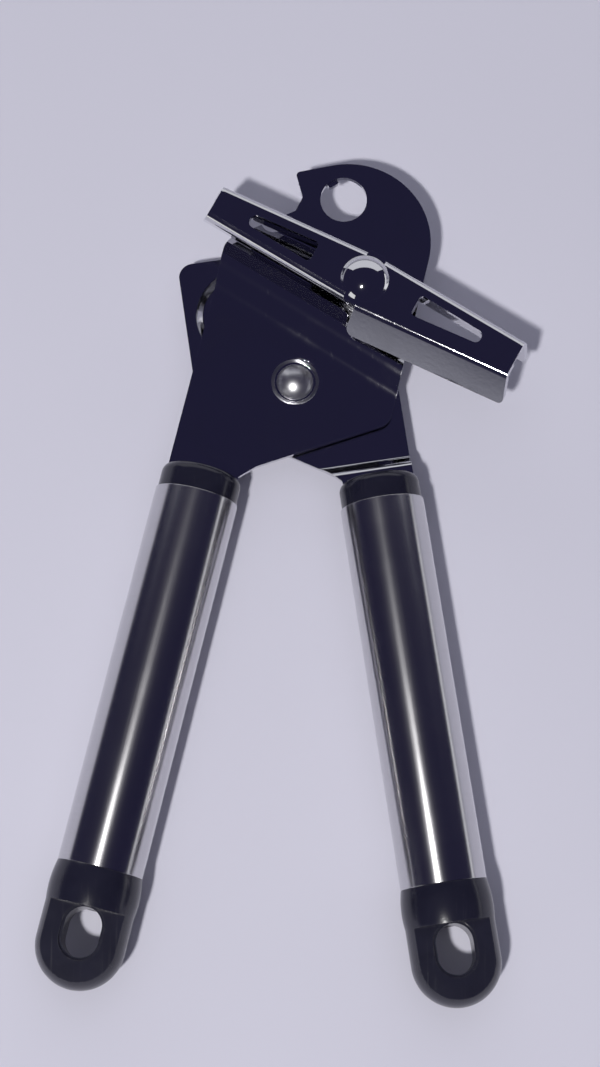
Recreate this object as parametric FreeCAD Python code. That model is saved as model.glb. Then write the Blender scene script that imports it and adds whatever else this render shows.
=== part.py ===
import FreeCAD, Part
import math
import os

# Manual can and bottle opener, lying on its back with the turn key upward.
# Lengths are millimetres and angles are degrees.
# Both levers are drawn in a lever frame: pivot at the origin, handle running towards -Y,
# left handle axis at -handle_offset and right handle axis at +handle_offset.

# ---- overall ----
tube_radius = 10.0
handle_offset = 16.0
left_handle_angle = -13.6
right_handle_angle = 8.5
closing_angle = left_handle_angle - right_handle_angle

# ---- sheet levers ----
sheet = 1.5
edge_round = 0.4
tang_insert = 11.0
shoulder_gap = 4.0
tang_flare = 3.5
shoulder_radius = 5.0
heel_drop = 4.9
heel_radius = 4.0
nick = 1.0
head_rise = 3.5
step_distance = 10.2
step_angle = -19.2
step_ramp = 5.4
step_bend_radius = 5.0
head_centre_y = 36.3
head_radius = 20.0
head_tip_angle = 115.0
head_tip_run = 9.0
left_shoulder_y = 29.8
notch_x = -8.9
notch_y = 44.8
notch_depth = 0.9
notch_low_run = 3.8

# ---- bottle opener ----
opener_hole_x = 0.9
opener_hole_y = 46.5
opener_hole_radius = 5.65
lip_angle = 133.0
lip_width = 2.6
lip_drop = 0.9
lip_reach = 1.1
edge_scallop_x = -14.4
edge_scallop_y = 37.6
edge_scallop_radius = 3.3

# ---- pivot ----
pivot_shank_radius = 2.5
pivot_head_lap = 1.9
pivot_head_height = 2.6
pivot_head_round = 2.3
pivot_tail_lap = 1.3
pivot_tail_height = 1.5
pivot_tail_round = 1.2
pivot_dish_rim = 0.5
pivot_dish_ramp = 0.9
pivot_dish_depth = 0.8
pivot_washer_lap = 2.1
pivot_washer_thick = 0.5
plate_gap = 0.05

# ---- rear lever ----
rear_arm_gap = 1.0
rear_top_y = 34.0
rear_left_inset = 0.5
rear_right_y = 2.0
rear_waist_x = 7.0
rear_waist_y = 9.0
rear_arm_foot_y = 14.0
rear_arm_chamfer_x = 7.0
rear_arm_chamfer_y = 5.5
rear_corner_radius = 3.5
tang_step_gap = 4.1
tang_step_ramp = 2.2
tang_bend_radius = 1.2
boss_margin = 1.1
boss_y = 19.3
boss_radius = 11.3
boss_depth = 1.5
boss_ramp = 1.6

# ---- wheels ----
spindle_x = 11.1
spindle_y = 24.5
feed_radius = 7.7
feed_thick = 2.7
feed_teeth = 24
feed_tooth_depth = 0.8
cutter_x = -5.5
cutter_y = 21.0
nip_overlap = 1.1
cutter_thick = 2.1
cutter_edge_land = 0.15
cutter_hub_radius = 6.0
wheel_gap = 0.3
stud_radius = 2.5
stud_head_lap = 1.9
stud_front_lap = 1.3
stud_front_height = 0.9
stud_front_round = 0.5
cutter_washer_thick = 0.5

# ---- key and spindle ----
key_lift = 2.35
key_sheet = 1.2
key_length = 81.0
key_hub_margin = 1.9
key_end_width = 10.2
key_corner_radius = 1.0
key_angle = -28.7
key_skirt_gap = 2.4
key_flare = 38.0
key_flare_depth = 6.5
key_tuck = 12.0
key_tuck_depth = 8.0
key_skirt_overhang = 2.0
key_bend_radius = 0.8
key_seam = 1.25
key_dome_height = 2.7
key_slot_start = 13.6
key_slot_end = 31.0
key_slot_wide = 5.5
key_slot_narrow = 3.0
key_slot_round = 1.4
key_tab_depth = 2.6
spindle_radius = 3.0
spindle_square = 4.4
spindle_tail_lap = 0.4
spindle_tail_height = 1.2
spindle_tail_round = 0.8
spindle_top_lap = 1.0
spindle_top_height = 1.0
hub_wall = 2.4
hub_top_round = 1.0
bush_wall = 1.45
bush_flange = 1.3
bush_lip = 0.4
spindle_washer_thick = 0.5
feed_washer_lap = 1.2
feed_washer_thick = 0.5

# ---- handles ----
collar_start = 26.7
collar_inset = 0.4
collar_wall = 1.1
collar_length = 6.5
collar_nose = 2.4
tube_length = 90.5
tube_wall = 0.5
plug_length = 14.0
cap_length = 27.8
cap_round_length = 9.0
cap_swell = 0.6
paddle_swell = 0.35
cap_pole_flat = 0.01
cap_flat_half = 5.7
cap_plug_length = 9.0
cap_hole_width = 8.5
cap_hole_length = 11.5
cap_hole_from_end = 13.0
cap_hole_bevel = 0.6

# ---- clearances ----
running = 0.05
face_gap = 0.1
slot_fit = 0.05

# ---- values that follow ----
collar_radius = tube_radius - collar_inset
cap_radius = tube_radius + cap_swell
paddle_radius = tube_radius + paddle_swell
tang_width = 2 * (collar_radius - collar_wall)
lever_edge = handle_offset + tang_width / 2
rear_left_edge = lever_edge - rear_left_inset
lever_shoulder = collar_start - shoulder_gap
tang_step_y = collar_start - tang_step_gap
pivot_head_radius = pivot_shank_radius + pivot_head_lap
pivot_tail_radius = pivot_shank_radius + pivot_tail_lap
pivot_washer_radius = pivot_shank_radius + pivot_washer_lap
pivot_dish_radius = pivot_head_radius + pivot_dish_rim + pivot_dish_ramp
rear_arm_edge = spindle_x - feed_radius - rear_arm_gap
boss_x = rear_arm_edge - boss_margin - boss_radius
stud_head_radius = stud_radius + stud_head_lap
stud_front_radius = stud_radius + stud_front_lap
spindle_tail_radius = spindle_radius + spindle_tail_lap
spindle_top_radius = spindle_radius + spindle_top_lap
hub_radius = spindle_radius + hub_wall
key_mid_width = 2 * (hub_radius + key_hub_margin)
bush_neck_radius = spindle_radius + running + bush_wall
bush_radius = bush_neck_radius + bush_flange
feed_washer_radius = spindle_radius + feed_washer_lap
axis_z = cap_radius
front_low = axis_z - sheet / 2
front_high = axis_z + sheet / 2
head_low = front_low + head_rise
head_high = front_high + head_rise
rear_high = front_low - pivot_dish_depth - plate_gap
rear_low = rear_high - sheet
boss_low = rear_low - boss_depth
cutter_high = boss_low - face_gap - cutter_washer_thick - face_gap
cutter_low = cutter_high - cutter_thick
feed_low = cutter_high + wheel_gap
feed_high = feed_low + feed_thick
key_top_z = head_high + key_lift + key_tuck_depth
key_low = key_top_z - key_sheet
key_inset = key_bend_radius + key_sheet + key_seam
dome_hollow = spindle_top_radius + slot_fit
dome_hollow_height = key_dome_height - key_sheet
dome_sink = (dome_hollow ** 2 - dome_hollow_height ** 2) / (2 * dome_hollow_height)
dome_ball = dome_sink + key_dome_height
key_dome_radius = math.sqrt(dome_ball ** 2 - dome_sink ** 2)
bush_low = feed_high + face_gap
bush_high = head_high + bush_lip
spindle_washer_low = bush_high + face_gap
hub_low = spindle_washer_low + spindle_washer_thick
feed_washer_low = feed_low - feed_washer_thick
wheel_distance = math.hypot(spindle_x - cutter_x, spindle_y - cutter_y)
cutter_radius = wheel_distance + nip_overlap - feed_radius
tube_start = collar_start + collar_length
tube_end = tube_start + tube_length
cap_end = tube_end + cap_length
big = 400.0


def vec(x, y, z=0.0):
    return FreeCAD.Vector(x, y, z)


def rounded_wire(points):
    """Closed XY wire through (x, y, corner radius) points."""
    count = len(points)
    corners = []
    for i in range(count):
        before = vec(points[i - 1][0], points[i - 1][1])
        here = vec(points[i][0], points[i][1])
        after = vec(points[(i + 1) % count][0], points[(i + 1) % count][1])
        radius = points[i][2]
        if radius <= 0:
            corners.append((here, None, here))
            continue
        back = (before - here).normalize()
        ahead = (after - here).normalize()
        half = back.getAngle(ahead) / 2
        run = radius / math.tan(half)
        start = here + back * run
        end = here + ahead * run
        middle = here + (back + ahead).normalize() * (radius / math.sin(half) - radius)
        corners.append((start, middle, end))
    edges = []
    for i in range(count):
        start, middle, end = corners[i]
        following = corners[(i + 1) % count][0]
        if middle is not None:
            edges.append(Part.Arc(start, middle, end).toShape())
        if (following - end).Length > 1e-6:
            edges.append(Part.makeLine(end, following))
    return Part.Wire(edges)


def prism(points, low, high):
    """Upright solid over a rounded outline."""
    face = Part.Face(rounded_wire(points))
    face.translate(vec(0, 0, low))
    return face.extrude(vec(0, 0, high - low))


def disc(x, y, radius, low, high):
    return Part.makeCylinder(radius, high - low, vec(x, y, low))


def turned(points, x=0.0, y=0.0):
    """Solid of revolution about Z from (radius, height, corner radius) points."""
    wire = rounded_wire(points)
    wire.rotate(vec(0, 0), vec(1, 0, 0), 90)
    solid = Part.Face(wire).revolve(vec(0, 0), vec(0, 0, 1), 360)
    solid.translate(vec(x, y))
    return solid


def bent_sheet(low, rise, thick, start, ramp, bend_radius, angle):
    """Wide sheet that climbs by rise; the bend starts at a distance from the pivot."""
    slope = math.atan2(rise, ramp)
    shift = thick * math.tan(slope / 2)
    outer = bend_radius + thick
    points = [
        (-big, low, 0),
        (start, low, outer),
        (start + ramp, low + rise, bend_radius),
        (big, low + rise, 0),
        (big, low + rise + thick, 0),
        (start + ramp - shift, low + rise + thick, outer),
        (start - shift, low + thick, bend_radius),
        (-big, low + thick, 0),
    ]
    wire = rounded_wire(points)
    wire.rotate(vec(0, 0), vec(1, 0, 0), 90)
    wire.rotate(vec(0, 0), vec(0, 0, 1), 90)
    wire.translate(vec(-big, 0))
    solid = Part.Face(wire).extrude(vec(2 * big, 0, 0))
    solid.rotate(vec(0, 0), vec(0, 0, 1), angle)
    return solid


def dished(plate, x, y, radius, ramp, depth, high):
    """Press a round flat-bottomed dish backward into a sheet."""
    slope = math.atan2(depth, ramp)
    shift = sheet * math.tan(slope / 2)
    floor = radius - ramp
    rim = radius + shift
    points = [
        (0, high - depth, 0),
        (floor, high - depth, edge_round),
        (radius, high, edge_round),
        (rim, high, 0),
        (rim, high - sheet, 0),
        (floor + shift, high - depth - sheet, edge_round),
        (0, high - depth - sheet, 0),
    ]
    opening = disc(x, y, rim, high - sheet - depth, high + depth)
    return plate.cut(opening).fuse(turned(points, x, y))


def turn_left(shape):
    shape.rotate(vec(0, 0), vec(0, 0, 1), left_handle_angle)
    return shape


def turn_right(shape):
    shape.rotate(vec(0, 0), vec(0, 0, 1), right_handle_angle)
    return shape


def make_front_lever():
    """Left lever: tang, pivot plate, raised head with the bottle opener."""
    inner = handle_offset - tang_width / 2
    outer = lever_edge
    foot = collar_start + tang_insert
    centre_x = lever_edge - head_radius
    tip = math.radians(head_tip_angle)
    arc_x = centre_x + head_radius * math.cos(tip)
    arc_y = head_centre_y + head_radius * math.sin(tip)
    tip_x = arc_x - head_tip_run * math.sin(tip)
    tip_y = arc_y + head_tip_run * math.cos(tip)
    body = [
        (-outer, -foot, nick),
        (-outer, left_shoulder_y, shoulder_radius),
        (notch_x - notch_depth, notch_y - notch_low_run, nick / 2),
        (notch_x, notch_y, nick),
        (tip_x, tip_y, nick),
        (arc_x, arc_y, 0),
        (centre_x, head_centre_y, 0),
        (lever_edge, head_centre_y, 0),
        (lever_edge, -heel_drop, heel_radius),
        (tang_flare - inner, -lever_shoulder, shoulder_radius),
        (-inner, nick / 2 - collar_start, nick),
        (-inner, -foot, nick),
    ]
    outline = prism(body, 0, head_high + 1)
    crown = disc(centre_x, head_centre_y, head_radius, 0, head_high + 1)
    crown = crown.common(Part.makeBox(big, big, big, vec(arc_x, head_centre_y, 0)))
    outline = outline.fuse(crown)
    stock = bent_sheet(front_low, head_rise, sheet, step_distance, step_ramp,
                       step_bend_radius, step_angle)
    plate = stock.common(outline)
    plate = plate.cut(disc(opener_hole_x, opener_hole_y, opener_hole_radius, 0, big))
    plate = plate.cut(disc(edge_scallop_x, edge_scallop_y, edge_scallop_radius, 0, big))
    plate = plate.cut(disc(spindle_x, spindle_y, bush_neck_radius, 0, big))
    plate = plate.fuse(make_opener_lip())
    plate = dished(plate, 0, 0, pivot_dish_radius, pivot_dish_ramp, pivot_dish_depth, front_high)
    plate = plate.cut(disc(0, 0, pivot_shank_radius, 0, big))
    return turn_left(plate.removeSplitter())


def make_opener_lip():
    """Pressed lip at the upper left of the opener hole that catches a crown cap."""
    reach = opener_hole_radius - lip_reach
    rim = opener_hole_radius + sheet
    half = lip_width / 2
    points = [
        (reach, -half, edge_round),
        (rim, -half, 0),
        (rim, half, 0),
        (reach, half, edge_round),
    ]
    lip = prism(points, head_low - lip_drop, head_high - lip_drop)
    lip.rotate(vec(0, 0), vec(0, 0, 1), lip_angle)
    lip.translate(vec(opener_hole_x, opener_hole_y))
    return lip


def make_rear_lever():
    """Right lever: stepped tang, pivot plate and arm with the cutter dish."""
    inner = handle_offset - tang_width / 2
    outer = lever_edge
    foot = collar_start + tang_insert
    body = [
        (inner, -foot, nick),
        (outer, -foot, nick),
        (outer, rear_right_y, shoulder_radius),
        (rear_waist_x, rear_waist_y, shoulder_radius),
        (rear_arm_edge, rear_arm_foot_y, rear_corner_radius),
        (rear_arm_edge, rear_top_y - rear_arm_chamfer_y, rear_corner_radius),
        (rear_arm_edge - rear_arm_chamfer_x, rear_top_y, rear_corner_radius),
        (-rear_left_edge, rear_top_y, rear_corner_radius),
        (-rear_left_edge, -heel_drop, heel_radius),
        (inner - tang_flare, -lever_shoulder, heel_radius),
        (inner, nick / 2 - collar_start, nick),
    ]
    outline = prism(body, 0, big)
    stock = bent_sheet(rear_low, front_low - rear_low, sheet, tang_step_y, tang_step_ramp,
                       tang_bend_radius, 180)
    plate = stock.common(outline)
    plate = dished(plate, boss_x, boss_y, boss_radius, boss_ramp, boss_depth, rear_high)
    plate = plate.cut(disc(cutter_x, cutter_y, stud_radius, 0, big))
    plate = plate.cut(disc(0, 0, pivot_shank_radius + running, 0, big))
    return turn_right(plate.removeSplitter())


def make_pivot_rivet():
    """Domed rivet through both levers, headed over at the back."""
    seat = front_high - pivot_dish_depth
    tail = rear_low - face_gap - pivot_washer_thick
    points = [
        (0, tail - pivot_tail_height, 0),
        (pivot_tail_radius, tail - pivot_tail_height, pivot_tail_round),
        (pivot_tail_radius, tail, 0),
        (pivot_shank_radius, tail, 0),
        (pivot_shank_radius, seat, 0),
        (pivot_head_radius, seat, 0),
        (pivot_head_radius, seat + pivot_head_height, pivot_head_round),
        (0, seat + pivot_head_height, 0),
    ]
    return turned(points)


def make_pivot_washer():
    high = rear_low - face_gap
    ring = disc(0, 0, pivot_washer_radius, high - pivot_washer_thick, high)
    return ring.cut(disc(0, 0, pivot_shank_radius, 0, big))


def at_spindle(shape):
    """Carry a shape from its own axis to the spindle of the left lever."""
    shape.translate(vec(spindle_x, spindle_y))
    return turn_left(shape)


def at_cutter(shape):
    """Carry a shape from its own axis to the cutter stud of the right lever."""
    shape.translate(vec(cutter_x, cutter_y))
    return turn_right(shape)


def make_key_skirt(flare, depth):
    """Folded edge along one half of the key, drawn on the +X, -Y quarter; flare leans it out."""
    taper = math.degrees(math.atan2((key_mid_width - key_end_width) / 2, key_length / 2))
    lean = math.radians(flare)
    out = depth * math.tan(lean)
    shift = key_sheet * math.tan(math.pi / 4 - lean / 2)
    root = -key_inset
    points = [
        (root, key_top_z, 0),
        (0, key_top_z, key_bend_radius + key_sheet),
        (out, key_top_z - depth, 0),
        (out - key_sheet / math.cos(lean), key_top_z - depth, 0),
        (-shift, key_low, key_bend_radius),
        (root, key_low, 0),
    ]
    wire = rounded_wire(points)
    wire.rotate(vec(0, 0), vec(1, 0, 0), 90)
    wire.rotate(vec(0, 0), vec(0, 0, 1), -90)
    skirt = Part.Face(wire).extrude(vec(key_length, 0, 0))
    skirt.translate(vec(-key_length / 4, 0))
    skirt.rotate(vec(0, 0), vec(0, 0, 1), taper)
    skirt.translate(vec(0, -key_mid_width / 2))
    window = [
        (key_skirt_gap / 2, key_top_z, 0),
        (key_length / 2, key_top_z, 0),
        (key_length / 2 + key_skirt_overhang, key_top_z - depth, key_corner_radius),
        (key_skirt_gap / 2, key_top_z - depth, 2 * key_corner_radius),
    ]
    wire = rounded_wire(window)
    wire.rotate(vec(0, 0), vec(1, 0, 0), 90)
    wire.translate(vec(0, key_length / 2))
    return skirt.common(Part.Face(wire).extrude(vec(0, -key_length, 0)))


def make_key_bridge():
    """Flat that carries the key across the gaps between its folded edges."""
    run = key_skirt_gap
    reach = key_mid_width / 2 - edge_round
    points = [
        (-run, -reach, key_corner_radius),
        (run, -reach, key_corner_radius),
        (run, reach, key_corner_radius),
        (-run, reach, key_corner_radius),
    ]
    return prism(points, key_low, key_top_z)


def make_key_slot():
    """Tapered slot on the +X half of the key."""
    points = [
        (key_slot_start, -key_slot_wide / 2, key_corner_radius),
        (key_slot_end, -key_slot_narrow / 2, key_slot_round),
        (key_slot_end, key_slot_narrow / 2, key_slot_round),
        (key_slot_start, key_slot_wide / 2, key_corner_radius),
    ]
    return prism(points, 0, big)


def make_key_tab():
    """Tongue left at the inner end of a slot and folded down."""
    half = key_slot_wide / 2 - edge_round
    return Part.makeBox(key_sheet, 2 * half, key_tab_depth + key_sheet,
                        vec(key_slot_start - key_sheet, -half, key_low - key_tab_depth))


def make_turn_key():
    """Butterfly key: tapered sheet, three folded edges and a flared one, two slots, domed middle."""
    half = key_length / 2
    middle = key_mid_width / 2 - key_bend_radius - key_sheet
    end = key_end_width / 2 - key_bend_radius - key_sheet
    face = [
        (0, -middle, 0),
        (half, -end, key_corner_radius),
        (half, end, key_corner_radius),
        (0, middle, 0),
        (-half, end, key_corner_radius),
        (-half, -end, key_corner_radius),
    ]
    key = prism(face, key_low, key_top_z)
    flared = make_key_skirt(key_flare, key_flare_depth)
    near_left = make_key_skirt(-key_tuck, key_tuck_depth).mirror(vec(0, 0), vec(1, 0, 0))
    far_left = near_left.mirror(vec(0, 0), vec(0, 1, 0))
    far_right = far_left.mirror(vec(0, 0), vec(1, 0, 0))
    for skirt in (flared, near_left, far_left, far_right):
        key = key.fuse(skirt)
    key = key.fuse(make_key_bridge())
    slot = make_key_slot()
    tab = make_key_tab()
    for turn in (0, 180):
        cut_here = slot.copy()
        cut_here.rotate(vec(0, 0), vec(0, 0, 1), turn)
        tab_here = tab.copy()
        tab_here.rotate(vec(0, 0), vec(0, 0, 1), turn)
        key = key.cut(cut_here).fuse(tab_here)
    key = key.cut(disc(0, 0, key_dome_radius, 0, big)).fuse(make_key_dome())
    key = key.removeSplitter()
    key.rotate(vec(0, 0), vec(0, 0, 1), key_angle - left_handle_angle)
    return at_spindle(key)


def make_key_dome():
    """Hollow spherical cap over the spindle end, seated on the flat of the key."""
    centre = vec(0, 0, key_top_z - dome_sink)
    shell = Part.makeSphere(dome_ball, centre).cut(Part.makeSphere(dome_ball - key_sheet, centre))
    cap = shell.common(disc(0, 0, key_dome_radius, key_top_z, big))
    ring = disc(0, 0, key_dome_radius, key_low, key_top_z)
    return cap.fuse(ring.cut(disc(0, 0, dome_hollow, 0, key_top_z)))


def make_spindle():
    """Round shaft with a square end for the feed wheel, headed over at both ends."""
    shaft = disc(0, 0, spindle_radius, feed_high, key_low)
    half = spindle_square / 2
    square = Part.makeBox(spindle_square, spindle_square, feed_high - feed_washer_low,
                          vec(-half, -half, feed_washer_low))
    top = disc(0, 0, spindle_top_radius, key_low, key_low + spindle_top_height)
    points = [
        (0, feed_washer_low - spindle_tail_height, 0),
        (spindle_tail_radius, feed_washer_low - spindle_tail_height, spindle_tail_round),
        (spindle_tail_radius, feed_washer_low, 0),
        (0, feed_washer_low, 0),
    ]
    return at_spindle(shaft.fuse(square).fuse(top).fuse(turned(points)).removeSplitter())


def make_key_hub():
    """Round spacer between the key and the lever."""
    points = [
        (spindle_radius, hub_low, 0),
        (hub_radius, hub_low, edge_round),
        (hub_radius, key_low, hub_top_round),
        (spindle_radius, key_low, 0),
    ]
    return at_spindle(turned(points))


def make_spindle_bushing():
    """Stepped bearing pressed into the raised head."""
    bore = spindle_radius + running
    points = [
        (bore, bush_low, 0),
        (bush_radius, bush_low, edge_round),
        (bush_radius, head_low, 0),
        (bush_neck_radius, head_low, 0),
        (bush_neck_radius, bush_high, edge_round / 2),
        (bore, bush_high, 0),
    ]
    return at_spindle(turned(points))


def make_spindle_washer():
    ring = disc(0, 0, bush_radius, spindle_washer_low, hub_low)
    return at_spindle(ring.cut(disc(0, 0, spindle_radius, 0, big)))


def make_feed_wheel():
    """Toothed wheel that grips the can rim."""
    root = feed_radius - feed_tooth_depth
    points = []
    for i in range(feed_teeth):
        angle = 2 * math.pi * i / feed_teeth
        next_angle = 2 * math.pi * (i + 0.5) / feed_teeth
        points.append((feed_radius * math.cos(angle), feed_radius * math.sin(angle), 0))
        points.append((root * math.cos(next_angle), root * math.sin(next_angle), 0))
    wheel = prism(points, feed_low, feed_high)
    half = spindle_square / 2
    hole = Part.makeBox(spindle_square, spindle_square, big, vec(-half, -half, 0))
    return at_spindle(wheel.cut(hole))


def make_feed_washer():
    ring = disc(0, 0, feed_washer_radius, feed_washer_low, feed_low)
    half = spindle_square / 2
    hole = Part.makeBox(spindle_square, spindle_square, big, vec(-half, -half, 0))
    return at_spindle(ring.cut(hole))


def make_cutter_wheel():
    """Bevelled disc; the sharp edge lies on its front face."""
    bore = stud_radius + running
    points = [
        (bore, cutter_low, 0),
        (cutter_hub_radius, cutter_low, 0),
        (cutter_radius, cutter_high - cutter_edge_land, 0),
        (cutter_radius, cutter_high, 0),
        (bore, cutter_high, 0),
    ]
    return at_cutter(turned(points))


def make_cutter_stud():
    """Headed stud riveted into the dish of the rear lever."""
    floor = rear_high - boss_depth
    head = cutter_low - face_gap
    points = [
        (0, 0, 0),
        (stud_head_radius, 0, 2 * edge_round),
        (stud_head_radius, head, edge_round / 2),
        (stud_radius, head, 0),
        (stud_radius, floor, 0),
        (stud_front_radius, floor, 0),
        (stud_front_radius, floor + stud_front_height, stud_front_round),
        (0, floor + stud_front_height, 0),
    ]
    return at_cutter(turned(points))


def make_cutter_washer():
    low = cutter_high + face_gap
    ring = disc(0, 0, stud_head_radius, low, low + cutter_washer_thick)
    return at_cutter(ring.cut(disc(0, 0, stud_radius, 0, big)))


def along_handle(shape, side):
    """Lay a shape drawn upward along Z onto a handle axis, Z pointing down the handle."""
    shape.rotate(vec(0, 0), vec(1, 0, 0), 90)
    shape.translate(vec(side * handle_offset, 0, axis_z))
    return turn_left(shape) if side < 0 else turn_right(shape)


def make_collar(side):
    """Moulded ferrule with a slot for the tang and a plug inside the tube."""
    plug = tube_radius - tube_wall
    points = [
        (0, collar_start, 0),
        (collar_radius, collar_start, collar_nose),
        (collar_radius, tube_start, 0),
        (plug, tube_start, 0),
        (plug, tube_start + plug_length, nick),
        (0, tube_start + plug_length, 0),
    ]
    width = tang_width + 2 * slot_fit
    thick = sheet + 2 * slot_fit
    slot = Part.makeBox(width, thick, collar_start + tang_insert + slot_fit,
                        vec(-width / 2, -thick / 2, 0))
    return along_handle(turned(points).cut(slot), side)


def make_tube(side):
    """Plain round grip tube."""
    tube = disc(0, 0, tube_radius, tube_start, tube_end)
    bore = disc(0, 0, tube_radius - tube_wall, tube_start, tube_end)
    return along_handle(tube.cut(bore), side)


def make_cap_barrel():
    """Bulged round part of an end cap, between the tube and the flats."""
    low = tube_end
    high = tube_end + cap_round_length
    bulge = Part.Arc(vec(tube_radius, low), vec(cap_radius, (low + high) / 2), vec(paddle_radius, high))
    edges = [
        bulge.toShape(),
        Part.makeLine(vec(paddle_radius, high), vec(0, high)),
        Part.makeLine(vec(0, high), vec(0, low)),
        Part.makeLine(vec(0, low), vec(tube_radius, low)),
    ]
    wire = Part.Wire(edges)
    wire.rotate(vec(0, 0), vec(1, 0, 0), 90)
    return Part.Face(wire).revolve(vec(0, 0), vec(0, 0, 1), 360)


def make_end_cap(side):
    """Moulded end: plug, bulged round part, and a paddle with an oval hanging hole."""
    plug = tube_radius - tube_wall
    flat_start = tube_end + cap_round_length
    points = [
        (0, tube_end - cap_plug_length, 0),
        (plug, tube_end - cap_plug_length, nick),
        (plug, tube_end, 0),
        (0, tube_end, 0),
    ]
    paddle_points = [
        (0, flat_start, 0),
        (paddle_radius, flat_start, 0),
        (paddle_radius, cap_end, paddle_radius - cap_pole_flat),
        (0, cap_end, 0),
    ]
    paddle = turned(paddle_points)
    for face in (-1, 1):
        low = cap_flat_half if face > 0 else -cap_flat_half - tube_radius
        paddle = paddle.cut(Part.makeBox(2 * tube_radius, tube_radius, cap_length,
                                         vec(-tube_radius, low, flat_start)))
    cap = turned(points).fuse(make_cap_barrel()).fuse(paddle)
    return along_handle(cap.cut(make_cap_hole()).removeSplitter(), side)


def oval(width, length, low, high):
    """Upright slot shape with round ends, long in Y."""
    straight = (length - width) / 2
    body = Part.makeBox(width, 2 * straight, high - low, vec(-width / 2, -straight, low))
    ends = disc(0, straight, width / 2, low, high).fuse(disc(0, -straight, width / 2, low, high))
    return body.fuse(ends)


def make_cap_hole():
    """Oval through hole with a stepped rim on both flats."""
    reach = tube_radius
    hole = oval(cap_hole_width, cap_hole_length, -reach, reach)
    rim_width = cap_hole_width + 2 * cap_hole_bevel
    rim_length = cap_hole_length + 2 * cap_hole_bevel
    upper = oval(rim_width, rim_length, cap_flat_half - cap_hole_bevel, reach)
    lower = oval(rim_width, rim_length, -reach, cap_hole_bevel - cap_flat_half)
    hole = hole.fuse(upper).fuse(lower)
    hole.rotate(vec(0, 0), vec(1, 0, 0), 90)
    hole.translate(vec(0, 0, cap_end - cap_hole_from_end))
    return hole


def build():
    """All pieces by node name, still with the pivot axis at the origin."""
    return {
        "front_lever": make_front_lever(),
        "rear_lever": make_rear_lever(),
        "pivot_rivet": make_pivot_rivet(),
        "pivot_washer": make_pivot_washer(),
        "turn_key": make_turn_key(),
        "key_hub": make_key_hub(),
        "spindle": make_spindle(),
        "spindle_bushing": make_spindle_bushing(),
        "spindle_washer": make_spindle_washer(),
        "feed_wheel": make_feed_wheel(),
        "feed_washer": make_feed_washer(),
        "cutter_wheel": make_cutter_wheel(),
        "cutter_stud": make_cutter_stud(),
        "cutter_washer": make_cutter_washer(),
        "left_collar": make_collar(-1),
        "right_collar": make_collar(1),
        "left_tube": make_tube(-1),
        "right_tube": make_tube(1),
        "left_end_cap": make_end_cap(-1),
        "right_end_cap": make_end_cap(1),
    }


def centred(pieces):
    """Move everything so the origin is the bottom centre of the whole opener."""
    whole = Part.makeCompound(list(pieces.values())).optimalBoundingBox(False)
    shift = vec(-whole.Center.x, -whole.Center.y, -whole.ZMin)
    for piece in pieces.values():
        piece.translate(shift)
    return shift


def write_steps():
    pieces = build()
    shift = centred(pieces)
    os.makedirs("parts", exist_ok=True)
    for name, piece in pieces.items():
        piece.exportStep(os.path.join("parts", name + ".step"))
    print("pivot axis now at", round(shift.x, 4), round(shift.y, 4), round(shift.z, 4))
    return pieces


write_steps()
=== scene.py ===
"""Can and bottle opener with tube handles: finishes, polished sheet edges, turned pieces and studio."""

import math

import bmesh
import bpy
import numpy as np
from mathutils import Matrix, Vector


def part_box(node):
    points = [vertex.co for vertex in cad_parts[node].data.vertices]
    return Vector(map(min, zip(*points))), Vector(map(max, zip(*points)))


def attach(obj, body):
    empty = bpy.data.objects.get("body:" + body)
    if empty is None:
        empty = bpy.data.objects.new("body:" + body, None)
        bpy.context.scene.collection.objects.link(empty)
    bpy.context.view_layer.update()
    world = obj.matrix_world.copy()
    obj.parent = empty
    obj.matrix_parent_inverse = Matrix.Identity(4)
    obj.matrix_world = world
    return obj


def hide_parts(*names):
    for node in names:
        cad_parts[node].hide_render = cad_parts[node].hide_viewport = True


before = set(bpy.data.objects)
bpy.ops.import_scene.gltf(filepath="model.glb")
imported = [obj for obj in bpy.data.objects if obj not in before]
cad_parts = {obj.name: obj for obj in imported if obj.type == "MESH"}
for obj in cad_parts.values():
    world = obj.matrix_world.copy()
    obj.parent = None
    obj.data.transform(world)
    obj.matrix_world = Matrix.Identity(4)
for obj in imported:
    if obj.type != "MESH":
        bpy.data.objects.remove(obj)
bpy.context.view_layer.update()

MM = 0.001
SHARP_ANGLE = 32.0
WELD_GAP = 0.002 * MM
UP = np.array((0.0, 0.0, 1.0))


# ---------------------------------------------------------------- node tools

def new_group(name, inputs, outputs):
    """Empty shader node group; inputs and outputs are (socket name, socket kind, value)."""
    group = bpy.data.node_groups.new(name, "ShaderNodeTree")
    for label, kind, value in inputs:
        socket = group.interface.new_socket(label, in_out="INPUT", socket_type="NodeSocket" + kind)
        if value is not None:
            socket.default_value = value
    for label, kind, value in outputs:
        group.interface.new_socket(label, in_out="OUTPUT", socket_type="NodeSocket" + kind)
    ends = group.nodes.new("NodeGroupInput"), group.nodes.new("NodeGroupOutput")
    return group, ends[0].outputs, ends[1].inputs


def set_or_link(tree, socket, value):
    """Join a socket to another one, or give it a plain value."""
    if isinstance(value, bpy.types.NodeSocket):
        tree.links.new(value, socket)
    else:
        socket.default_value = value


def add_node(tree, kind, values=(), **settings):
    """New node with its settings, and its inputs set or linked by name or number."""
    node = tree.nodes.new("ShaderNode" + kind)
    for key, value in settings.items():
        setattr(node, key, value)
    for key, value in dict(values).items():
        set_or_link(tree, node.inputs[key], value)
    return node


def math_node(tree, operation, *values, clamp=False):
    """Result of one sum on numbers or sockets."""
    numbered = {i: value for i, value in enumerate(values)}
    return add_node(tree, "Math", numbered, operation=operation, use_clamp=clamp).outputs[0]


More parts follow.
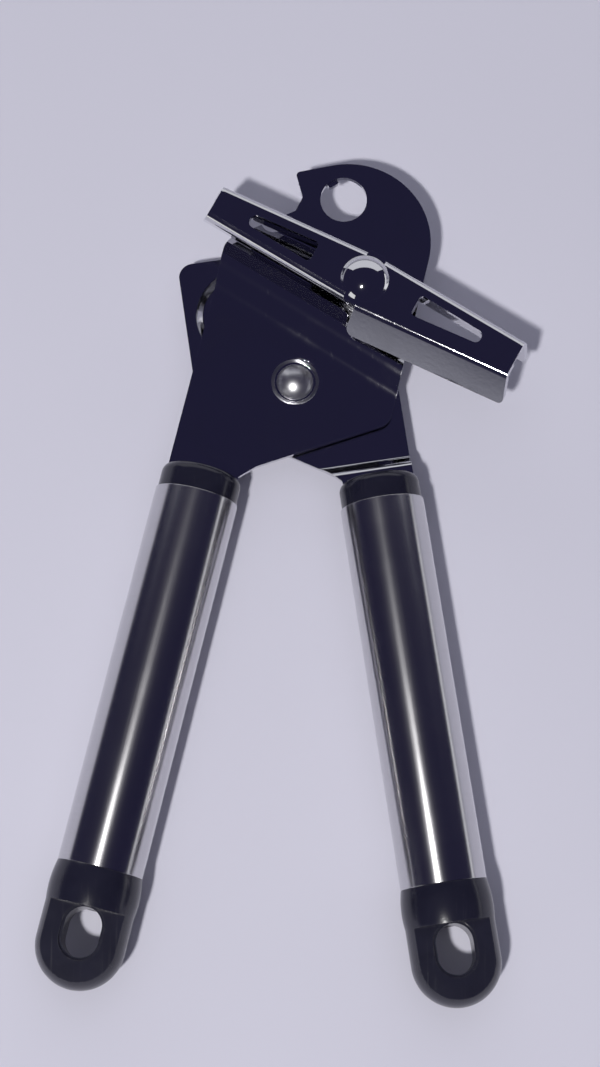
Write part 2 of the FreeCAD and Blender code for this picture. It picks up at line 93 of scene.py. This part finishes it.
def remap(tree, value, low, high, to_low=0.0, to_high=1.0):
    """Value carried from one range to another and held at its ends."""
    values = {"Value": value, "From Min": low, "From Max": high, "To Min": to_low, "To Max": to_high}
    return add_node(tree, "MapRange", values).outputs["Result"]


def stretched(tree, vector, scale, turn=(0.0, 0.0, 0.0)):
    """Coordinates turned and scaled."""
    values = {"Vector": vector, "Scale": scale, "Rotation": turn}
    return add_node(tree, "Mapping", values).outputs["Vector"]


def noise(tree, vector, scale, detail=2.0, roughness=0.5, distortion=0.0):
    """Even noise from 0 to 1."""
    values = {"Vector": vector, "Scale": scale, "Detail": detail, "Roughness": roughness,
              "Distortion": distortion}
    return add_node(tree, "TexNoise", values).outputs["Fac"]


# ---------------------------------------------------------------- shared effects

def make_hairline_group():
    """Fine polishing hairlines: three noises drawn out into streaks at different angles."""
    group, given, out = new_group(
        "hairlines",
        [("Vector", "Vector", None), ("Density", "Float", 900.0), ("Cover", "Float", 0.35)],
        [("Lines", "Float", None), ("Haze", "Float", None)])
    total = None
    for turn, share in ((0.35, 1.0), (-0.9, 0.8), (1.4, 0.6)):
        drawn = stretched(group, given["Vector"], (1.0, 0.03, 1.0), (0.0, 0.0, turn))
        streak = noise(group, drawn, given["Density"], 3.0, 0.6)
        streak = remap(group, streak, 0.62, 0.78, 0.0, share)
        total = streak if total is None else math_node(group, "MAXIMUM", total, streak)
    haze = noise(group, given["Vector"], 60.0, 3.0, 0.55)
    haze = remap(group, haze, 0.3, 0.75)
    patch = math_node(group, "MULTIPLY", haze, given["Cover"])
    group.links.new(math_node(group, "MULTIPLY", total, patch), out["Lines"])
    group.links.new(haze, out["Haze"])
    return group


def make_smudge_group():
    """Soft finger smudges and wipe marks: warped blotches, 0 clean to 1 smeared."""
    group, given, out = new_group(
        "smudges",
        [("Vector", "Vector", None), ("Scale", "Float", 45.0)],
        [("Mask", "Float", None)])
    wide = noise(group, given["Vector"], given["Scale"], 2.0, 0.5, 1.2)
    fine_scale = math_node(group, "MULTIPLY", given["Scale"], 9.0)
    fine = noise(group, given["Vector"], fine_scale, 2.0, 0.6)
    blotch = remap(group, wide, 0.48, 0.72)
    broken = remap(group, fine, 0.3, 0.7, 0.45, 1.0)
    group.links.new(math_node(group, "MULTIPLY", blotch, broken), out["Mask"])
    return group


def make_edge_group():
    """Rubbed edges: how far the rounded normal leans from the true one, broken by a little noise."""
    group, given, out = new_group(
        "rubbed_edges",
        [("Vector", "Vector", None), ("Reach", "Float", 0.0004), ("Break", "Float", 700.0)],
        [("Mask", "Float", None)])
    soft = add_node(group, "Bevel", {"Radius": given["Reach"]}, samples=4).outputs["Normal"]
    true = add_node(group, "NewGeometry").outputs["Normal"]
    lean = add_node(group, "VectorMath", {0: soft, 1: true}, operation="DOT_PRODUCT").outputs["Value"]
    edge = remap(group, lean, 0.995, 0.86)
    broken = remap(group, noise(group, given["Vector"], given["Break"], 3.0, 0.6), 0.32, 0.6, 0.35, 1.0)
    group.links.new(math_node(group, "MULTIPLY", edge, broken, clamp=True), out["Mask"])
    return group


def make_grain_group():
    """Fine surface grain as a height: a close noise over a wider one."""
    group, given, out = new_group(
        "grain",
        [("Vector", "Vector", None), ("Scale", "Float", 1500.0), ("Waves", "Float", 25.0),
         ("Wave Share", "Float", 0.5)],
        [("Height", "Float", None)])
    close = noise(group, given["Vector"], given["Scale"], 2.0, 0.5)
    wide = noise(group, given["Vector"], given["Waves"], 1.0, 0.4)
    wide = math_node(group, "MULTIPLY", wide, given["Wave Share"])
    group.links.new(math_node(group, "ADD", close, wide), out["Height"])
    return group


GROUPS = {
    "hairlines": make_hairline_group(),
    "smudges": make_smudge_group(),
    "edges": make_edge_group(),
    "grain": make_grain_group(),
}


# ---------------------------------------------------------------- finishes

def use_group(tree, name, values):
    """One of the shared effects inside a material, with its inputs set or linked."""
    node = tree.nodes.new("ShaderNodeGroup")
    node.node_tree = GROUPS[name]
    for key, value in values.items():
        set_or_link(tree, node.inputs[key], value)
    return node.outputs


def new_finish(name, **constants):
    """Material with a Principled shader; constants are set straight on the shader's sockets."""
    material = bpy.data.materials.new(name)
    material.use_nodes = True
    tree = material.node_tree
    shader = tree.nodes["Principled BSDF"]
    for key, value in constants.items():
        shader.inputs[key.replace("_", " ")].default_value = value
    place = tree.nodes.new("ShaderNodeTexCoord").outputs["Object"]
    return material, tree, shader, place


def mixed_colour(tree, mask, first, second):
    """First colour where the mask is 0, second where it is 1."""
    mix = tree.nodes.new("ShaderNodeMix")
    mix.data_type = "RGBA"
    set_or_link(tree, mix.inputs["Factor"], mask)
    set_or_link(tree, mix.inputs["A"], first)
    set_or_link(tree, mix.inputs["B"], second)
    return next(s for s in mix.outputs if s.type == "RGBA")


def bumped(tree, shader, height, strength, distance):
    """Bump from a height, joined to the shader's normal."""
    values = {"Height": height, "Strength": strength, "Distance": distance}
    bump = add_node(tree, "Bump", values)
    tree.links.new(bump.outputs["Normal"], shader.inputs["Normal"])


def polished_metal(name, clean, worn, rough, wave):
    """Bright plated sheet: smudged and hairlined roughness, rubbed edges, slightly wavy face."""
    material, tree, shader, place = new_finish(name, Metallic=1.0)
    marks = use_group(tree, "hairlines", {"Vector": place})
    smear = use_group(tree, "smudges", {"Vector": place})["Mask"]
    edge = use_group(tree, "edges", {"Vector": place})["Mask"]
    wavy = {"Vector": place, "Scale": 900.0, "Waves": 28.0, "Wave Share": wave}
    grain = use_group(tree, "grain", wavy)["Height"]
    tint = mixed_colour(tree, smear, clean, [0.93 * c for c in clean[:3]] + [1.0])
    tree.links.new(mixed_colour(tree, edge, tint, worn), shader.inputs["Base Color"])
    smeared = remap(tree, smear, 0.0, 1.0, rough, rough + 0.07)
    lined = math_node(tree, "MULTIPLY", marks["Lines"], 0.22)
    rubbed = math_node(tree, "MULTIPLY", edge, 0.08)
    total = math_node(tree, "ADD", math_node(tree, "ADD", smeared, lined), rubbed)
    tree.links.new(total, shader.inputs["Roughness"])
    bumped(tree, shader, grain, 0.05, 0.00004)
    return material


def drawn_tube(name, clean, rough):
    """Polished tube: hairlines that run round it and along it, read from the tube's own map."""
    material, tree, shader, place = new_finish(name, Metallic=1.0, Anisotropic=0.72,
                                             Anisotropic_Rotation=0.25)
    grain_way = add_node(tree, "Tangent", direction_type="UV_MAP", uv_map="around_and_along")
    tree.links.new(grain_way.outputs["Tangent"], shader.inputs["Tangent"])
    around = add_node(tree, "UVMap", uv_map="around_and_along").outputs["UV"]
    belt = noise(tree, stretched(tree, around, (0.02, 1.0, 1.0)), 5200.0, 3.0, 0.6)
    drawn = noise(tree, stretched(tree, around, (1.0, 0.012, 1.0)), 2600.0, 3.0, 0.6)
    marks = use_group(tree, "hairlines", {"Vector": place, "Cover": 0.3, "Density": 700.0})
    smear = use_group(tree, "smudges", {"Vector": place, "Scale": 38.0})["Mask"]
    tint = mixed_colour(tree, remap(tree, belt, 0.3, 0.7), clean, [0.92 * c for c in clean[:3]] + [1.0])
    tree.links.new(tint, shader.inputs["Base Color"])
    smeared = remap(tree, smear, 0.0, 1.0, rough, rough + 0.02)
    lined = math_node(tree, "ADD", math_node(tree, "MULTIPLY", marks["Lines"], 0.08),
                      remap(tree, drawn, 0.35, 0.7, 0.0, 0.02))
    tree.links.new(math_node(tree, "ADD", smeared, lined), shader.inputs["Roughness"])
    bumped(tree, shader, belt, 0.05, 0.00003)
    return material


def turned_metal(name, clean, rough, ring):
    """Turned or ground steel: close rings of tool marks about each piece's own axis."""
    material, tree, shader, place = new_finish(name, Metallic=1.0)
    map_uv = add_node(tree, "UVMap", uv_map="around_and_along").outputs["UV"]
    rings = noise(tree, stretched(tree, map_uv, (0.01, 1.0, 1.0)), ring, 3.0, 0.65)
    smear = use_group(tree, "smudges", {"Vector": place, "Scale": 120.0})["Mask"]
    edge = use_group(tree, "edges", {"Vector": place, "Reach": 0.0003})["Mask"]
    dark = [0.8 * c for c in clean[:3]] + [1.0]
    tint = mixed_colour(tree, remap(tree, rings, 0.3, 0.7), clean, dark)
    bright = [min(1.0, 1.25 * c) for c in clean[:3]] + [1.0]
    tree.links.new(mixed_colour(tree, edge, tint, bright), shader.inputs["Base Color"])
    varied = remap(tree, rings, 0.3, 0.7, rough, rough + 0.08)
    tree.links.new(math_node(tree, "ADD", varied, math_node(tree, "MULTIPLY", smear, 0.06)),
                   shader.inputs["Roughness"])
    bumped(tree, shader, rings, 0.12, 0.00006)
    return material


def ground_steel(name, clean, rough):
    """Hardened steel with a crossed ground grain and rubbed edges."""
    material, tree, shader, place = new_finish(name, Metallic=1.0)
    grind = noise(tree, stretched(tree, place, (1.0, 0.04, 1.0), (0.0, 0.0, 0.6)), 2400.0, 3.0, 0.6)
    smear = use_group(tree, "smudges", {"Vector": place, "Scale": 150.0})["Mask"]
    edge = use_group(tree, "edges", {"Vector": place, "Reach": 0.0003})["Mask"]
    dark = [0.7 * c for c in clean[:3]] + [1.0]
    tint = mixed_colour(tree, remap(tree, grind, 0.3, 0.7), clean, dark)
    bright = [min(1.0, 1.3 * c) for c in clean[:3]] + [1.0]
    tree.links.new(mixed_colour(tree, edge, tint, bright), shader.inputs["Base Color"])
    varied = remap(tree, grind, 0.3, 0.7, rough, rough + 0.12)
    tree.links.new(math_node(tree, "ADD", varied, math_node(tree, "MULTIPLY", smear, 0.08)),
                   shader.inputs["Roughness"])
    bumped(tree, shader, grind, 0.2, 0.00005)
    return material


def moulded_black(name):
    """Glossy black plastic: faint flow clouds, fine scuffs, satin where handled, rubbed edges."""
    material, tree, shader, place = new_finish(name, IOR=1.5)
    flow = noise(tree, place, 90.0, 3.0, 0.55, 0.6)
    scuffs = use_group(tree, "hairlines", {"Vector": place, "Density": 1100.0, "Cover": 0.8})
    smear = use_group(tree, "smudges", {"Vector": place, "Scale": 70.0})["Mask"]
    edge = use_group(tree, "edges", {"Vector": place, "Reach": 0.0005})["Mask"]
    grain = use_group(tree, "grain", {"Vector": place, "Scale": 2400.0, "Waves": 160.0,
                                      "Wave Share": 0.6})["Height"]
    body = mixed_colour(tree, remap(tree, flow, 0.3, 0.7), (0.011, 0.011, 0.022, 1.0),
                        (0.016, 0.016, 0.03, 1.0))
    scuffed = mixed_colour(tree, scuffs["Lines"], body, (0.036, 0.036, 0.046, 1.0))
    tree.links.new(mixed_colour(tree, edge, scuffed, (0.03, 0.03, 0.042, 1.0)),
                   shader.inputs["Base Color"])
    rough = remap(tree, smear, 0.0, 1.0, 0.19, 0.25)
    rough = math_node(tree, "ADD", rough, math_node(tree, "MULTIPLY", scuffs["Lines"], 0.25))
    tree.links.new(math_node(tree, "ADD", rough, math_node(tree, "MULTIPLY", edge, 0.08)),
                   shader.inputs["Roughness"])
    bumped(tree, shader, grain, 0.12, 0.00008)
    return material


CLEAN_CHROME = (0.64, 0.64, 0.67, 1.0)
WORN_CHROME = (0.8, 0.8, 0.83, 1.0)

FINISHES = {
    "lever_chrome": polished_metal("lever_chrome", CLEAN_CHROME, WORN_CHROME, 0.05, 60.0),
    "key_chrome": polished_metal("key_chrome", CLEAN_CHROME, WORN_CHROME, 0.055, 40.0),
    "rivet_steel": turned_metal("rivet_steel", (0.76, 0.76, 0.79, 1.0), 0.3, 9000.0),
    "hard_steel": ground_steel("hard_steel", (0.5, 0.5, 0.52, 1.0), 0.22),
    "tube_steel": drawn_tube("tube_steel", (0.62, 0.615, 0.63, 1.0), 0.2),
    "black_plastic": moulded_black("black_plastic"),
}


# ---------------------------------------------------------------- mesh tools

def finish_piece(piece, body, slot, *nodes):
    """Give a finished piece its material and its body, and hide the CAD nodes that it stands for."""
    piece.data.materials.clear()
    piece.data.materials.append(FINISHES[slot])
    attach(piece, body)
    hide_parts(*nodes)
    return piece


def node_points(node):
    """Vertices of a CAD node as one array."""
    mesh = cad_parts[node].data
    points = np.empty(len(mesh.vertices) * 3)
    mesh.vertices.foreach_get("co", points)
    return points.reshape(-1, 3)


def softened_copy(name, node, width, segments):
    """Copy of a CAD node, merged and cleared of flat seams, with its sharp edges rounded."""
    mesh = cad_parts[node].data.copy()
    mesh.name = name
    work = bmesh.new()
    work.from_mesh(mesh)
    bmesh.ops.remove_doubles(work, verts=work.verts, dist=WELD_GAP)
    bmesh.ops.dissolve_degenerate(work, edges=work.edges, dist=WELD_GAP)
    bmesh.ops.dissolve_limit(work, angle_limit=math.radians(0.4), use_dissolve_boundaries=False,
                             verts=work.verts, edges=work.edges, delimit=set())
    work.to_mesh(mesh)
    work.free()
    mesh.shade_smooth()
    piece = bpy.data.objects.new(name, mesh)
    bpy.context.scene.collection.objects.link(piece)
    bevel = piece.modifiers.new("rounded_edges", "BEVEL")
    bevel.width = width
    bevel.segments = segments
    bevel.limit_method = "ANGLE"
    bevel.angle_limit = math.radians(SHARP_ANGLE)
    bevel.miter_outer = "MITER_ARC"
    bevel.use_clamp_overlap = True
    weighted = piece.modifiers.new("flat_faces_stay_flat", "WEIGHTED_NORMAL")
    weighted.mode = "FACE_AREA_WITH_ANGLE"
    weighted.weight = 80
    weighted.keep_sharp = False
    return piece


def rounded_profile(corners, steps=6):
    """Profile with arcs in place of its corners.

    Each corner is (radius, height, corner radius). Its arc is centre + corner radius * (cos, sin) of
    an angle that runs evenly from one tangent point to the other.
    """
    count = len(corners)
    spots = np.array([c[:2] for c in corners], float)
    out = []
    for i in range(count):
        size = corners[i][2]
        if size <= 0 or i in (0, count - 1):
            out.append(spots[i][None])
            continue
        back = spots[i - 1] - spots[i]
        ahead = spots[i + 1] - spots[i]
        back /= np.linalg.norm(back)
        ahead /= np.linalg.norm(ahead)
        half = math.acos(np.clip(back @ ahead, -1, 1)) / 2
        middle = back + ahead
        centre = spots[i] + middle / np.linalg.norm(middle) * size / math.sin(half)
        first = spots[i] + back * size / math.tan(half) - centre
        last = spots[i] + ahead * size / math.tan(half) - centre
        a, b = math.atan2(first[1], first[0]), math.atan2(last[1], last[0])
        turn = (b - a + math.pi) % (2 * math.pi) - math.pi
        angles = a + turn * np.linspace(0, 1, steps + 1)
        out.append(centre + size * np.stack((np.cos(angles), np.sin(angles)), 1))
    return np.concatenate(out)


def turned_piece(name, profile, foot, axis, side, around=96):
    """Surface of revolution of a (radius, height) profile.

    Point (i, j) = foot + height_i * axis + radius_i * (cos a_j * side + sin a_j * across), with a_j
    evenly round the axis; the map holds the run round and the run along the profile in metres.
    """
    across = np.cross(axis, side)
    angles = np.linspace(0, 2 * np.pi, around, endpoint=False)
    ring = np.cos(angles)[:, None] * side + np.sin(angles)[:, None] * across
    points = foot + profile[:, 1, None, None] * axis + profile[:, 0, None, None] * ring
    rows = len(profile)
    i, j = np.meshgrid(np.arange(rows - 1), np.arange(around), indexing="ij")
    k = (j + 1) % around
    faces = np.stack((i * around + j, i * around + k, (i + 1) * around + k, (i + 1) * around + j), -1)
    mesh = bpy.data.meshes.new(name)
    mesh.from_pydata(points.reshape(-1, 3).tolist(), [], faces.reshape(-1, 4).tolist())
    run = np.concatenate(([0.0], np.cumsum(np.linalg.norm(np.diff(profile, axis=0), axis=1))))
    turn = 2 * np.pi * profile[:, 0].max() / around
    u = np.stack((j, j + 1, j + 1, j), -1) * turn
    v = np.stack((run[i], run[i], run[i + 1], run[i + 1]), -1)
    layer = mesh.uv_layers.new(name="around_and_along")
    layer.data.foreach_set("uv", np.stack((u, v), -1).reshape(-1).astype(np.float32))
    work = bmesh.new()
    work.from_mesh(mesh)
    bmesh.ops.remove_doubles(work, verts=work.verts, dist=1e-7)
    bmesh.ops.recalc_face_normals(work, faces=work.faces)
    work.to_mesh(mesh)
    work.free()
    mesh.shade_smooth()
    piece = bpy.data.objects.new(name, mesh)
    bpy.context.scene.collection.objects.link(piece)
    return piece


def handle_line(node):
    """Start point, direction down the handle, length and radius of a round tube, from its mesh."""
    points = node_points(node)
    middle = (points.min(0) + points.max(0)) / 2
    axis = np.linalg.svd(points - points.mean(0), full_matrices=False)[2][0]
    axis[2] = 0.0
    axis *= -np.sign(axis[1]) / np.linalg.norm(axis)
    along = (points - middle) @ axis
    radius = np.linalg.norm(points - middle - along[:, None] * axis, axis=1).max()
    start = middle + axis * (along.min() + along.max()) / 2 - axis * np.ptp(along) / 2
    return start, axis, np.ptp(along), radius


# ---------------------------------------------------------------- handles

TUBE_WALL = 0.5 * MM


def make_tube(side, body):
    """Grip tube: a round wall carried along the handle, with both rims rolled over."""
    start, axis, length, radius = handle_line(side + "_tube")
    bore = radius - TUBE_WALL
    rim = 0.2 * MM
    corners = [
        (bore, length / 2, 0), (bore, 0, rim), (radius, 0, rim), (radius, length, rim),
        (bore, length, rim), (bore, length / 2, 0),
    ]
    piece = turned_piece(side + "_grip_tube", rounded_profile(corners, 4), start, axis,
                         np.cross(UP, axis), around=160)
    return finish_piece(piece, body, "tube_steel", side + "_tube")


def make_softened(name, node, body, slot, width, segments=3):
    """Finished piece made from a CAD node by rounding its sharp edges."""
    piece = softened_copy(name, node, width, segments)
    return finish_piece(piece, body, slot, node)


# ---------------------------------------------------------------- pivot and stud

def upright_frame(node):
    """Foot point under the middle of an upright round node, its height and its radius."""
    low, high = (np.array(corner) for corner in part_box(node))
    foot = np.array(((low[0] + high[0]) / 2, (low[1] + high[1]) / 2, low[2]))
    return foot, high[2] - low[2], (high[0] - low[0]) / 2


def make_pivot_rivet():
    """Rivet: headed tail, shank, and a domed head whose crown is the last arc of the profile."""
    foot, height, head = upright_frame("pivot_rivet")
    tail, shank = head - 0.6 * MM, head - 1.9 * MM  # radii: tail, then the shank through the levers
    tail_height, head_height = 1.5 * MM, 2.6 * MM
    crown = head_height - 0.25 * MM
    ball = (head ** 2 + crown ** 2) / (2 * crown)
    sweep = np.linspace(math.asin(head / ball), 0, 20)
    dome = np.stack((ball * np.sin(sweep), height - ball + ball * np.cos(sweep)), 1)
    corners = [
        (0, 0, 0), (tail, 0, 1.1 * MM), (tail, tail_height, 0.1 * MM), (shank, tail_height, 0),
        (shank, height - head_height, 0), (head, height - head_height, 0.08 * MM),
        (head, height - crown, 0),
    ]
    profile = np.concatenate((rounded_profile(corners), dome[1:]))
    piece = turned_piece("pivot_rivet_turned", profile, foot, UP, np.array((1.0, 0.0, 0.0)), 128)
    return finish_piece(piece, "left_side", "rivet_steel", "pivot_rivet")


# ---------------------------------------------------------------- studio

def make_floor():
    """Pale studio floor."""
    half = 6.0
    mesh = bpy.data.meshes.new("studio_floor")
    mesh.from_pydata([(-half, -half, 0), (half, -half, 0), (half, half, 0), (-half, half, 0)], [],
                     [(0, 1, 2, 3)])
    floor = bpy.data.objects.new("studio_floor", mesh)
    bpy.context.scene.collection.objects.link(floor)
    material, tree, shader, place = new_finish("studio_floor", Roughness=0.9)
    cloud = noise(tree, place, 3.0, 2.0, 0.5)
    tone = mixed_colour(tree, remap(tree, cloud, 0.3, 0.7), (0.66, 0.655, 0.75, 1.0),
                        (0.68, 0.675, 0.77, 1.0))
    tree.links.new(tone, shader.inputs["Base Color"])
    mesh.materials.append(material)


def add_light(name, place, size, power, colour, target=(0, 0, 0), along=(0, 0, 1), glossy=True):
    """Rectangular soft light aimed at a point; its height runs along a given direction."""
    data = bpy.data.lights.new(name, "AREA")
    data.shape = "RECTANGLE"
    data.size, data.size_y = size
    data.energy = power
    data.color = colour
    light = bpy.data.objects.new(name, data)
    bpy.context.scene.collection.objects.link(light)
    back = (Vector(place) - Vector(target)).normalized()
    side = Vector(along).cross(back).normalized()
    turn = Matrix((side, back.cross(side), back)).transposed().to_4x4()
    light.matrix_world = Matrix.Translation(place) @ turn
    light.visible_glossy = glossy


def make_lights():
    """Small lamp for crisp shadows and sparkles, windows near the horizon, and a faint fill."""
    ahead = (0, 1, 0)
    add_light("lamp", (-0.34, -0.64, 1.5), (0.09, 0.09), 19.0, (1.0, 0.985, 0.97), along=ahead)
    add_light("far_window", (0.1, 2.0, 0.95), (4.2, 1.5), 15.0, (0.97, 0.98, 1.0), (0, 0, 0.95))
    add_light("near_window", (-1.25, -1.2, 0.42), (0.7, 0.6), 1.2, (1.0, 1.0, 0.96), (0, 0, 0.42))
    add_light("side_window", (2.0, 0.1, 0.25), (2.0, 0.2), 1.2, (1.0, 1.0, 1.0), (0, 0, 0.25))
    add_light("overhead_fill", (0.1, 0.3, 2.0), (2.4, 2.4), 8.5, (0.9, 0.9, 1.0), along=ahead,
              glossy=False)


def make_surroundings():
    """Dark studio overhead with a pale band at the horizon; height is the sine of the angle above it."""
    world = bpy.data.worlds.new("studio")
    bpy.context.scene.world = world
    world.use_nodes = True
    tree = world.node_tree
    direction = tree.nodes.new("ShaderNodeTexCoord").outputs["Generated"]
    height = add_node(tree, "SeparateXYZ", {"Vector": direction}).outputs["Z"]
    lift = remap(tree, height, 0.02, 0.08)
    tone = mixed_colour(tree, lift, (0.5, 0.5, 0.56, 1.0), (0.019, 0.0175, 0.046, 1.0))
    tree.links.new(tone, tree.nodes["Background"].inputs["Color"])


def make_camera():
    """Camera above the opener and toward its handle ends, tilted back so that the opener fills the frame."""
    tilt = 13.0
    aside = 1.2 * MM
    behind = 159.98 * MM
    height = 541.7 * MM
    data = bpy.data.cameras.new("camera")
    data.sensor_width = 36.0
    data.lens = 77.6
    data.clip_start = 0.01
    camera = bpy.data.objects.new("camera", data)
    bpy.context.scene.collection.objects.link(camera)
    low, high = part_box("pivot_rivet")
    middle = (low + high) / 2
    camera.location = (middle.x + aside, middle.y - behind, height)
    camera.rotation_euler = (math.radians(tilt), 0, 0)
    bpy.context.scene.camera = camera


# ---------------------------------------------------------------- assembly

make_camera()
make_lights()
make_surroundings()
make_floor()

make_softened("front_lever_sheet", "front_lever", "left_side", "lever_chrome", 0.66 * MM, 5)
make_softened("rear_lever_sheet", "rear_lever", "right_side", "lever_chrome", 0.66 * MM, 5)
make_softened("turn_key_sheet", "turn_key", "key_set", "key_chrome", 0.42 * MM, 4)
for side, body in (("left", "left_side"), ("right", "right_side")):
    make_tube(side, body)
    make_softened(side + "_ferrule", side + "_collar", body, "black_plastic", 0.25 * MM)
    make_softened(side + "_handle_end", side + "_end_cap", body, "black_plastic", 0.35 * MM)
make_pivot_rivet()
for node, body in (("feed_wheel", "key_set"), ("feed_washer", "key_set"), ("cutter_wheel", "cutter"),
                   ("cutter_stud", "right_side"), ("cutter_washer", "right_side"),
                   ("pivot_washer", "left_side"), ("spindle", "key_set"), ("spindle_washer", "key_set"),
                   ("spindle_bushing", "left_side"), ("key_hub", "key_set")):
    make_softened(node + "_rounded", node, body, "hard_steel", 0.12 * MM, 2)

bpy.context.scene.view_settings.view_transform = "Standard"
